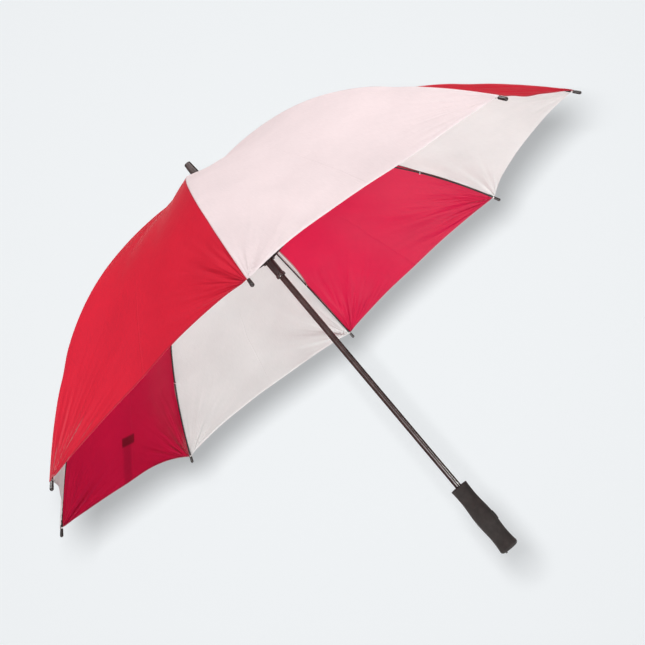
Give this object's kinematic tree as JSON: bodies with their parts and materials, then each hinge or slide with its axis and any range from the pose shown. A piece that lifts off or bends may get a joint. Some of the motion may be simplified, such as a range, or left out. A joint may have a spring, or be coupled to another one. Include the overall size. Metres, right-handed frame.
{
  "type": "golf umbrella",
  "caption": "Stick umbrella with a domed canopy of alternating red and white panels on hinged ribs, a sliding runner with stretchers, a straight shaft and a foam grip with a release button.",
  "frame": {"origin": "on the shaft's axis, level with the lowest point of the handle", "axes": "+Z along the shaft to the ferrule; +X through rib 4 and the side of the grip with the button"},
  "size_m": [1.307, 1.307, 0.96],
  "materials": {
    "canopy_red": "woven polyester",
    "canopy_white": "woven polyester",
    "shaft_black": "gloss black",
    "rib_black": "satin black",
    "black_plastic": "moulded gloss",
    "matt_plastic": "moulded matt",
    "steel_wire": "drawn wire",
    "grip_foam": "matt closed-cell foam",
    "grip_button": "matt moulded"
  },
  "bodies": {
    "shaft_and_handle": {"shaft": "shaft_black", "top_notch": "black_plastic", "notch_wire": "steel_wire", "spring_anchor": "black_plastic", "crown_washer": "black_plastic", "ferrule": "black_plastic", "handle_core": "black_plastic", "grip": "grip_foam", "end_cap": "matt_plastic", "latch_pin": "steel_wire", "opening_spring": "steel_wire", "button_spring": "steel_wire", "canopy_panel_1_2": "canopy_red", "canopy_panel_2_3": "canopy_white", "canopy_panel_3_4": "canopy_red", "canopy_panel_4_5": "canopy_white", "canopy_panel_5_6": "canopy_red", "canopy_panel_6_7": "canopy_white", "canopy_panel_7_8": "canopy_red", "canopy_panel_8_1": "canopy_white"},
    "rib_1": {"rib_inner_1": "rib_black"},
    "rib_1_tip": {"rib_outer_1": "rib_black", "tip_cap_1": "black_plastic"},
    "link_1": {"stretcher_1": "rib_black"},
    "rib_2": {"rib_inner_2": "rib_black"},
    "rib_2_tip": {"rib_outer_2": "rib_black", "tip_cap_2": "black_plastic"},
    "link_2": {"stretcher_2": "rib_black"},
    "rib_3": {"rib_inner_3": "rib_black"},
    "rib_3_tip": {"rib_outer_3": "rib_black", "tip_cap_3": "black_plastic"},
    "link_3": {"stretcher_3": "rib_black"},
    "rib_4": {"rib_inner_4": "rib_black"},
    "rib_4_tip": {"rib_outer_4": "rib_black", "tip_cap_4": "black_plastic"},
    "link_4": {"stretcher_4": "rib_black"},
    "rib_5": {"rib_inner_5": "rib_black"},
    "rib_5_tip": {"rib_outer_5": "rib_black", "tip_cap_5": "black_plastic"},
    "link_5": {"stretcher_5": "rib_black"},
    "rib_6": {"rib_inner_6": "rib_black"},
    "rib_6_tip": {"rib_outer_6": "rib_black", "tip_cap_6": "black_plastic"},
    "link_6": {"stretcher_6": "rib_black"},
    "rib_7": {"rib_inner_7": "rib_black"},
    "rib_7_tip": {"rib_outer_7": "rib_black", "tip_cap_7": "black_plastic"},
    "link_7": {"stretcher_7": "rib_black"},
    "rib_8": {"rib_inner_8": "rib_black"},
    "rib_8_tip": {"rib_outer_8": "rib_black", "tip_cap_8": "black_plastic"},
    "link_8": {"stretcher_8": "rib_black"},
    "runner_group": {"runner": "black_plastic", "runner_wire": "steel_wire", "runner_key": "steel_wire"},
    "button": {"push_button": "grip_button"},
    "latch": {"latch_lever": "matt_plastic"}
  },
  "joints": [
    {"name": "umbrella_fold", "type": "hinge", "parent": "shaft_and_handle", "child": "rib_1", "pos_m": [-0.00672, -0.00672, 0.9], "axis": [0.7071, -0.7071, 0], "range_deg": [0, 71.55], "deforming": ["canopy_panel_1_2", "canopy_panel_2_3", "canopy_panel_3_4", "canopy_panel_4_5", "canopy_panel_5_6", "canopy_panel_6_7", "canopy_panel_7_8", "canopy_panel_8_1", "opening_spring"]},
    {"name": "rib_1_straighten", "type": "hinge", "parent": "rib_1", "child": "rib_1_tip", "pos_m": [-0.26087, -0.26087, 0.804], "axis": [0.7071, -0.7071, 0], "range_deg": [-23.62, 0]},
    {"name": "stretcher_1_swing", "type": "hinge", "parent": "rib_1", "child": "link_1", "pos_m": [-0.26087, -0.26087, 0.804], "axis": [0.7071, -0.7071, 0], "range_deg": [-143.1, 0]},
    {"name": "rib_2_fold", "type": "hinge", "parent": "shaft_and_handle", "child": "rib_2", "pos_m": [0, -0.0095, 0.9], "axis": [1, 0, 0], "range_deg": [0, 71.55]},
    {"name": "rib_2_straighten", "type": "hinge", "parent": "rib_2", "child": "rib_2_tip", "pos_m": [0, -0.36892, 0.804], "axis": [1, 0, 0], "range_deg": [-23.62, 0]},
    {"name": "stretcher_2_swing", "type": "hinge", "parent": "rib_2", "child": "link_2", "pos_m": [0, -0.36892, 0.804], "axis": [1, 0, 0], "range_deg": [-143.1, 0]},
    {"name": "rib_3_fold", "type": "hinge", "parent": "shaft_and_handle", "child": "rib_3", "pos_m": [0.00672, -0.00672, 0.9], "axis": [0.7071, 0.7071, 0], "range_deg": [0, 71.55]},
    {"name": "rib_3_straighten", "type": "hinge", "parent": "rib_3", "child": "rib_3_tip", "pos_m": [0.26087, -0.26087, 0.804], "axis": [0.7071, 0.7071, 0], "range_deg": [-23.62, 0]},
    {"name": "stretcher_3_swing", "type": "hinge", "parent": "rib_3", "child": "link_3", "pos_m": [0.26087, -0.26087, 0.804], "axis": [0.7071, 0.7071, 0], "range_deg": [-143.1, 0]},
    {"name": "rib_4_fold", "type": "hinge", "parent": "shaft_and_handle", "child": "rib_4", "pos_m": [0.0095, 0, 0.9], "axis": [0, 1, 0], "range_deg": [0, 71.55]},
    {"name": "rib_4_straighten", "type": "hinge", "parent": "rib_4", "child": "rib_4_tip", "pos_m": [0.36892, 0, 0.804], "axis": [0, 1, 0], "range_deg": [-23.62, 0]},
    {"name": "stretcher_4_swing", "type": "hinge", "parent": "rib_4", "child": "link_4", "pos_m": [0.36892, 0, 0.804], "axis": [0, 1, 0], "range_deg": [-143.1, 0]},
    {"name": "rib_5_fold", "type": "hinge", "parent": "shaft_and_handle", "child": "rib_5", "pos_m": [0.00672, 0.00672, 0.9], "axis": [-0.7071, 0.7071, 0], "range_deg": [0, 71.55]},
    {"name": "rib_5_straighten", "type": "hinge", "parent": "rib_5", "child": "rib_5_tip", "pos_m": [0.26087, 0.26087, 0.804], "axis": [-0.7071, 0.7071, 0], "range_deg": [-23.62, 0]},
    {"name": "stretcher_5_swing", "type": "hinge", "parent": "rib_5", "child": "link_5", "pos_m": [0.26087, 0.26087, 0.804], "axis": [-0.7071, 0.7071, 0], "range_deg": [-143.1, 0]},
    {"name": "rib_6_fold", "type": "hinge", "parent": "shaft_and_handle", "child": "rib_6", "pos_m": [0, 0.0095, 0.9], "axis": [-1, 0, 0], "range_deg": [0, 71.55]},
    {"name": "rib_6_straighten", "type": "hinge", "parent": "rib_6", "child": "rib_6_tip", "pos_m": [0, 0.36892, 0.804], "axis": [-1, 0, 0], "range_deg": [-23.62, 0]},
    {"name": "stretcher_6_swing", "type": "hinge", "parent": "rib_6", "child": "link_6", "pos_m": [0, 0.36892, 0.804], "axis": [-1, 0, 0], "range_deg": [-143.1, 0]},
    {"name": "rib_7_fold", "type": "hinge", "parent": "shaft_and_handle", "child": "rib_7", "pos_m": [-0.00672, 0.00672, 0.9], "axis": [-0.7071, -0.7071, 0], "range_deg": [0, 71.55]},
    {"name": "rib_7_straighten", "type": "hinge", "parent": "rib_7", "child": "rib_7_tip", "pos_m": [-0.26087, 0.26087, 0.804], "axis": [-0.7071, -0.7071, 0], "range_deg": [-23.62, 0]},
    {"name": "stretcher_7_swing", "type": "hinge", "parent": "rib_7", "child": "link_7", "pos_m": [-0.26087, 0.26087, 0.804], "axis": [-0.7071, -0.7071, 0], "range_deg": [-143.1, 0]},
    {"name": "rib_8_fold", "type": "hinge", "parent": "shaft_and_handle", "child": "rib_8", "pos_m": [-0.0095, 0, 0.9], "axis": [0, -1, 0], "range_deg": [0, 71.55]},
    {"name": "rib_8_straighten", "type": "hinge", "parent": "rib_8", "child": "rib_8_tip", "pos_m": [-0.36892, 0, 0.804], "axis": [0, -1, 0], "range_deg": [-23.62, 0]},
    {"name": "stretcher_8_swing", "type": "hinge", "parent": "rib_8", "child": "link_8", "pos_m": [-0.36892, 0, 0.804], "axis": [0, -1, 0], "range_deg": [-143.1, 0]},
    {"name": "runner_slide_pivot", "type": "hinge", "parent": "link_1", "child": "runner_group", "pos_m": [-0.00672, -0.00672, 0.70799], "axis": [0.7071, -0.7071, 0], "range_deg": [0, 71.56]},
    {"name": "button_press", "type": "slide", "parent": "shaft_and_handle", "child": "button", "axis": [-1, 0, 0], "range_m": [0, 0.002], "stiffness_N_per_m": 400, "springref_m": -0.001, "deforming": ["button_spring"]},
    {"name": "latch_release", "type": "hinge", "parent": "shaft_and_handle", "child": "latch", "pos_m": [0.0106, 0, 0.102], "axis": [0, 1, 0], "range_deg": [0, 3.75]}
  ],
  "couplings": [
    {"joint": "rib_1_straighten", "follows": "umbrella_fold", "ratio": -0.33},
    {"joint": "stretcher_1_swing", "follows": "umbrella_fold", "ratio": -2},
    {"joint": "rib_2_fold", "follows": "umbrella_fold", "ratio": 1},
    {"joint": "rib_2_straighten", "follows": "umbrella_fold", "ratio": -0.33},
    {"joint": "stretcher_2_swing", "follows": "umbrella_fold", "ratio": -2},
    {"joint": "rib_3_fold", "follows": "umbrella_fold", "ratio": 1},
    {"joint": "rib_3_straighten", "follows": "umbrella_fold", "ratio": -0.33},
    {"joint": "stretcher_3_swing", "follows": "umbrella_fold", "ratio": -2},
    {"joint": "rib_4_fold", "follows": "umbrella_fold", "ratio": 1},
    {"joint": "rib_4_straighten", "follows": "umbrella_fold", "ratio": -0.33},
    {"joint": "stretcher_4_swing", "follows": "umbrella_fold", "ratio": -2},
    {"joint": "rib_5_fold", "follows": "umbrella_fold", "ratio": 1},
    {"joint": "rib_5_straighten", "follows": "umbrella_fold", "ratio": -0.33},
    {"joint": "stretcher_5_swing", "follows": "umbrella_fold", "ratio": -2},
    {"joint": "rib_6_fold", "follows": "umbrella_fold", "ratio": 1},
    {"joint": "rib_6_straighten", "follows": "umbrella_fold", "ratio": -0.33},
    {"joint": "stretcher_6_swing", "follows": "umbrella_fold", "ratio": -2},
    {"joint": "rib_7_fold", "follows": "umbrella_fold", "ratio": 1},
    {"joint": "rib_7_straighten", "follows": "umbrella_fold", "ratio": -0.33},
    {"joint": "stretcher_7_swing", "follows": "umbrella_fold", "ratio": -2},
    {"joint": "rib_8_fold", "follows": "umbrella_fold", "ratio": 1},
    {"joint": "rib_8_straighten", "follows": "umbrella_fold", "ratio": -0.33},
    {"joint": "stretcher_8_swing", "follows": "umbrella_fold", "ratio": -2},
    {"joint": "runner_slide_pivot", "follows": "umbrella_fold", "ratio": 1},
    {"joint": "latch_release", "follows": "button_press", "rad_per_m": 32.68}
  ]
}
